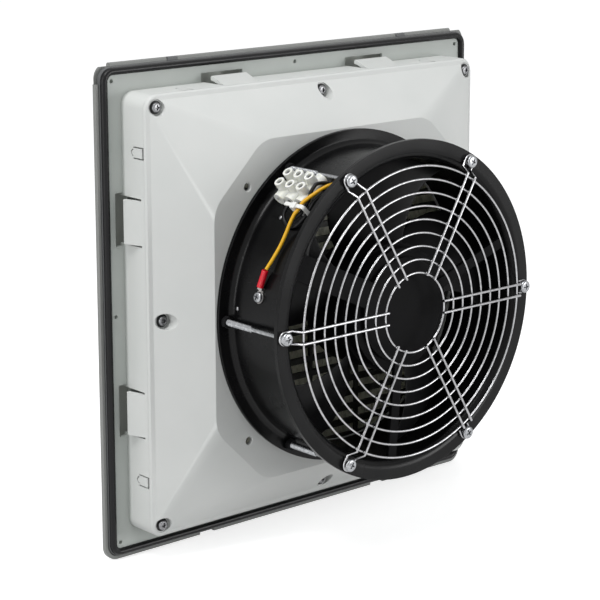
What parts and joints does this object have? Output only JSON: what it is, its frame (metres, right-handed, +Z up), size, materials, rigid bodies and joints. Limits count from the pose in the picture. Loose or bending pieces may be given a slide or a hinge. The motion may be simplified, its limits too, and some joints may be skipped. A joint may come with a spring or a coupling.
{
  "type": "cabinet filter fan",
  "caption": "Square louvred filter fan for a cabinet wall: grey cover and frame, snap tongues, moulded shroud, round black axial fan with a wire guard and terminal block.",
  "frame": {"origin": "centre of the frame flange's rear face, the face that seats on the cabinet panel", "axes": "+Y along the fan's axis into the cabinet, +Z up, +X to the left as seen from inside the cabinet"},
  "size_m": [0.323, 0.1341, 0.323],
  "materials": {
    "housing_plastic": "fine moulded grain, light grey",
    "cover_plastic": "fine moulded grain, grey",
    "gasket_rubber": "foamed rubber bead with a skin",
    "filter_fibre": "matted fibre",
    "fan_paint": "semi-gloss black paint",
    "bright_zinc": "bright zinc plating",
    "black_steel": "black oxide",
    "blade_paint": "satin black paint",
    "nylon": "natural nylon",
    "black_insulation": "black lead insulation",
    "yellow_insulation": "yellow lead insulation",
    "red_sleeve": "red insulating sleeve",
    "bearing_steel": "ground steel"
  },
  "bodies": {
    "frame": {"mounting_frame": "housing_plastic", "panel_gasket": "gasket_rubber", "hinge_pin_1": "bright_zinc", "hinge_pin_2": "bright_zinc", "filter_mat": "filter_fibre", "mat_support_grid": "housing_plastic", "rear_shroud": "housing_plastic", "shroud_washers": "black_steel", "fan_housing": "fan_paint", "guard_rings": "bright_zinc", "guard_arms": "bright_zinc", "motor_bracket": "fan_paint", "stator": "fan_paint", "bearing_1": "bearing_steel", "bearing_2": "bearing_steel", "motor_cable": "black_insulation", "terminal_block": "nylon", "terminal_screws": "bright_zinc", "supply_lead_1": "black_insulation", "supply_lead_2": "black_insulation", "earth_lead": "yellow_insulation", "cable_tie": "nylon", "lug_sleeve": "red_sleeve", "ring_lug": "bright_zinc", "earth_screw": "bright_zinc", "shroud_screw_1": "bright_zinc", "shroud_screw_2": "bright_zinc", "shroud_screw_3": "bright_zinc", "shroud_screw_4": "bright_zinc", "shroud_screw_5": "bright_zinc", "shroud_screw_6": "bright_zinc", "shroud_screw_7": "bright_zinc", "shroud_screw_8": "bright_zinc", "fan_screw_1": "bright_zinc", "fan_screw_2": "bright_zinc", "fan_screw_3": "bright_zinc", "fan_screw_4": "bright_zinc", "fan_screw_5": "bright_zinc", "fan_screw_6": "bright_zinc", "fan_nut_1": "black_steel", "fan_nut_2": "black_steel", "fan_nut_3": "black_steel", "fan_nut_4": "black_steel", "fan_nut_5": "black_steel", "fan_nut_6": "black_steel"},
    "impeller": {"rotor_hub": "fan_paint", "motor_shaft": "bearing_steel", "impeller_blade_1": "blade_paint", "impeller_blade_2": "blade_paint", "impeller_blade_3": "blade_paint", "impeller_blade_4": "blade_paint", "impeller_blade_5": "blade_paint"},
    "cover": {"front_cover": "cover_plastic"}
  },
  "joints": [
    {"name": "impeller_spin", "type": "hinge", "parent": "frame", "child": "impeller", "pos_m": [0, 0.0765, 0], "axis": [0, 1, 0], "continuous": true},
    {"name": "cover_hinge", "type": "hinge", "parent": "frame", "child": "cover", "pos_m": [0, -0.0052, 0.1596], "axis": [-1, 0, 0], "range_deg": [0, 100]}
  ]
}
